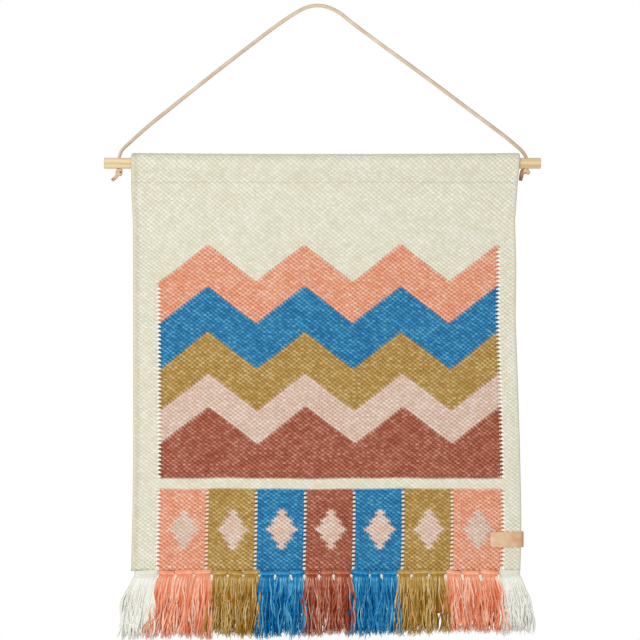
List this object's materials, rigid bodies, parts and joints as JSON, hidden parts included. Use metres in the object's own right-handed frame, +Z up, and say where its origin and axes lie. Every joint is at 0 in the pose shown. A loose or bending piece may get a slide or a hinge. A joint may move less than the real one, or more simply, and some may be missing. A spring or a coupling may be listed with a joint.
{
  "type": "textile wall hanging on a wooden hanging rod",
  "caption": "Flat-woven textile panel sleeved over a wooden rod, with a tasselled hem, a leather tag and a leather lace to hang it by.",
  "frame": {"origin": "where the underside of the lace rests on its wall peg, at the top of the loop", "axes": "+Z up, +X to the viewer's right along the rod, +Y into the wall, so the front faces -Y"},
  "size_m": [0.562, 0.024, 0.815],
  "materials": {
    "rod": "plain pale wood, sanded",
    "cloth": "weft-faced wool flat weave",
    "fringe_natural": "plied wool yarn",
    "fringe_coral": "plied wool yarn",
    "fringe_ochre": "plied wool yarn",
    "fringe_blue": "plied wool yarn",
    "fringe_rust": "plied wool yarn",
    "lace": "flat vegetable-tanned lace",
    "tag": "smooth natural leather, bare"
  },
  "bodies": {
    "root": {"rod": "rod", "cloth": "cloth", "tassel_01": "fringe_natural", "tassel_02": "fringe_coral", "tassel_03": "fringe_coral", "tassel_04": "fringe_coral", "tassel_05": "fringe_ochre", "tassel_06": "fringe_ochre", "tassel_07": "fringe_ochre", "tassel_08": "fringe_blue", "tassel_09": "fringe_blue", "tassel_10": "fringe_blue", "tassel_11": "fringe_rust", "tassel_12": "fringe_rust", "tassel_13": "fringe_rust", "tassel_14": "fringe_blue", "tassel_15": "fringe_blue", "tassel_16": "fringe_blue", "tassel_17": "fringe_ochre", "tassel_18": "fringe_ochre", "tassel_19": "fringe_ochre", "tassel_20": "fringe_coral", "tassel_21": "fringe_coral", "tassel_22": "fringe_coral", "tassel_23": "fringe_natural", "hanger_lace": "lace", "knot_left": "lace", "knot_right": "lace", "leather_tag": "tag"}
  },
  "joints": []
}
